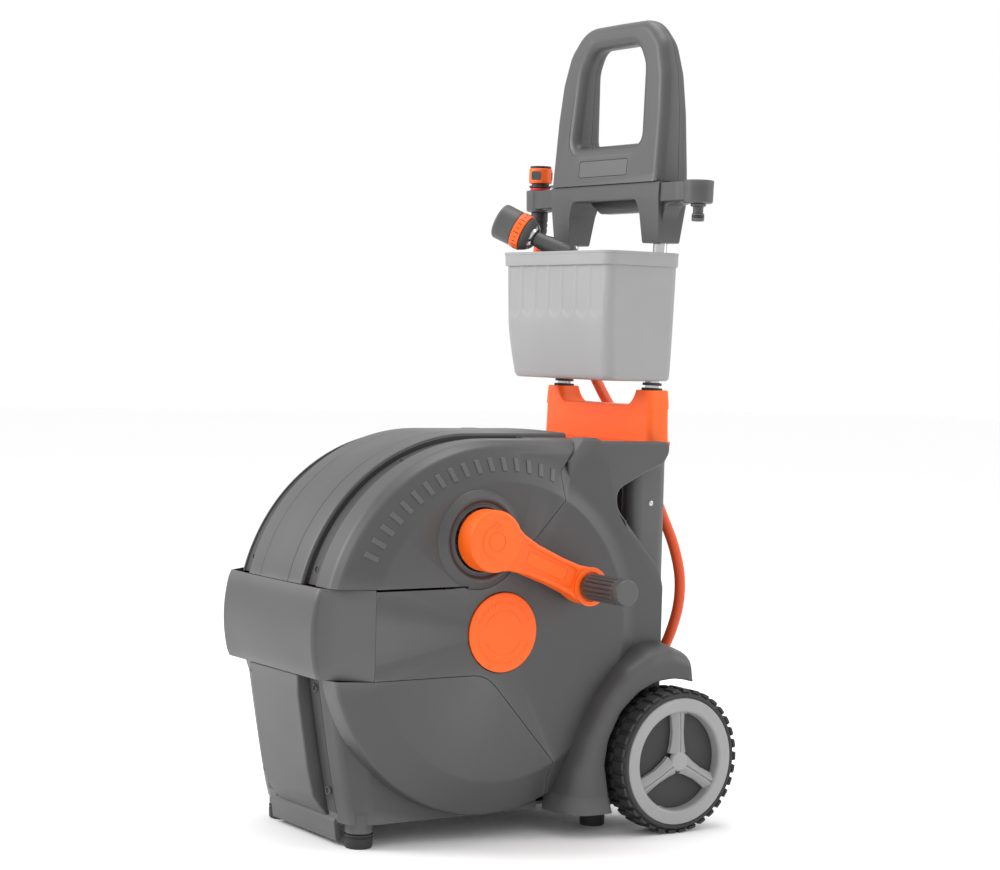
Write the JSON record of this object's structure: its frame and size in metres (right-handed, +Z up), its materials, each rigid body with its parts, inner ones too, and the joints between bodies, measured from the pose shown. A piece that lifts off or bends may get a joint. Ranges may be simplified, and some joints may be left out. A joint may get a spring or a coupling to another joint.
{
  "type": "hose reel cart",
  "caption": "Enclosed hose reel cart with geared crank, tool bucket, spray gun, push handle and wheels.",
  "frame": {"origin": "on the floor, at the centre of the cart's box without the free hose", "axes": "+Z up, +Y to the rear (towards the push handle), +X to the side with the crank"},
  "size_m": [0.474, 0.5723, 1.023],
  "materials": {
    "grey_plastic": "fine grained dark grey moulding",
    "orange_plastic": "satin orange moulding",
    "pale_plastic": "satin light grey moulding",
    "black_plastic": "matte black moulding",
    "rubber": "matte black rubber",
    "tyre": "matte moulded tread",
    "steel": "polished tube",
    "hose": "smooth orange hose"
  },
  "bodies": {
    "cart": {"base_tray": "grey_plastic", "bucket": "pale_plastic", "cap_left": "orange_plastic", "cap_right": "orange_plastic", "connector_body": "grey_plastic", "connector_seat": "orange_plastic", "deck_bracket": "orange_plastic", "drum_axle": "steel", "foot_front_left": "rubber", "foot_front_right": "rubber", "foot_rear_left": "rubber", "foot_rear_right": "rubber", "front_belt": "grey_plastic", "grip_front": "grey_plastic", "grip_rear": "grey_plastic", "hood_crown": "grey_plastic", "hose_outlet": "black_plastic", "hose_tail": "black_plastic", "leader_hose": "hose", "nipple_right": "grey_plastic", "rear_panel": "grey_plastic", "side_frame_left": "grey_plastic", "side_frame_right": "grey_plastic", "tub_front": "grey_plastic", "tub_side_left": "grey_plastic", "tub_side_right": "grey_plastic", "tube_left": "steel", "tube_right": "steel", "upper_cover_left": "grey_plastic", "upper_cover_right": "grey_plastic", "wheel_axle": "steel", "yoke": "grey_plastic"},
    "drum": {"drum": "black_plastic", "hose_coil": "hose", "drum_gear": "pale_plastic"},
    "crank": {"pinion": "pale_plastic", "crank_arm": "orange_plastic", "knob_spindle": "steel"},
    "knob": {"knob": "grey_plastic"},
    "wheel_right": {"tyre_right": "tyre", "rim_right": "grey_plastic", "cover_right": "pale_plastic"},
    "wheel_left": {"tyre_left": "tyre", "rim_left": "grey_plastic", "cover_left": "pale_plastic"},
    "spray_gun": {"gun_body": "grey_plastic", "gun_inlet": "black_plastic"},
    "selector": {"gun_head": "grey_plastic", "gun_ring": "orange_plastic"},
    "trigger": {"gun_trigger": "orange_plastic"},
    "release_sleeve": {"connector_sleeve": "orange_plastic"}
  },
  "joints": [
    {"name": "drum_spin", "type": "hinge", "parent": "cart", "child": "drum", "pos_m": [-0.037, -0.0434, 0.256], "axis": [1, 0, 0], "continuous": true},
    {"name": "crank_spin", "type": "hinge", "parent": "cart", "child": "crank", "pos_m": [0.113, -0.0794, 0.36916], "axis": [1, 0, 0], "continuous": true},
    {"name": "knob_spin", "type": "hinge", "parent": "crank", "child": "knob", "pos_m": [0.193, 0.0586, 0.31116], "axis": [1, 0, 0], "continuous": true},
    {"name": "wheel_right_spin", "type": "hinge", "parent": "cart", "child": "wheel_right", "pos_m": [0.1465, 0.1934, 0.09], "axis": [1, 0, 0], "continuous": true},
    {"name": "wheel_left_spin", "type": "hinge", "parent": "cart", "child": "wheel_left", "pos_m": [-0.2205, 0.1934, 0.09], "axis": [1, 0, 0], "continuous": true},
    {"name": "gun_lift", "type": "slide", "parent": "cart", "child": "spray_gun", "axis": [0, -0.12, 0.9928], "range_m": [0, 0.12]},
    {"name": "selector_turn", "type": "hinge", "parent": "spray_gun", "child": "selector", "pos_m": [-0.119, 0.1586, 0.7385], "axis": [-0.7057, -0.5678, 0.4238], "continuous": true},
    {"name": "trigger_squeeze", "type": "hinge", "parent": "spray_gun", "child": "trigger", "pos_m": [-0.07712, 0.1903, 0.71035], "axis": [-0.708, 0.5883, -0.3907], "range_deg": [0, 7], "stiffness_Nm_per_rad": 0.6},
    {"name": "sleeve_pull", "type": "slide", "parent": "cart", "child": "release_sleeve", "axis": [0, 0, -1], "range_m": [0, 0.0026], "stiffness_N_per_m": 400}
  ],
  "couplings": [
    {"joint": "crank_spin", "follows": "drum_spin", "ratio": -2.5714}
  ]
}
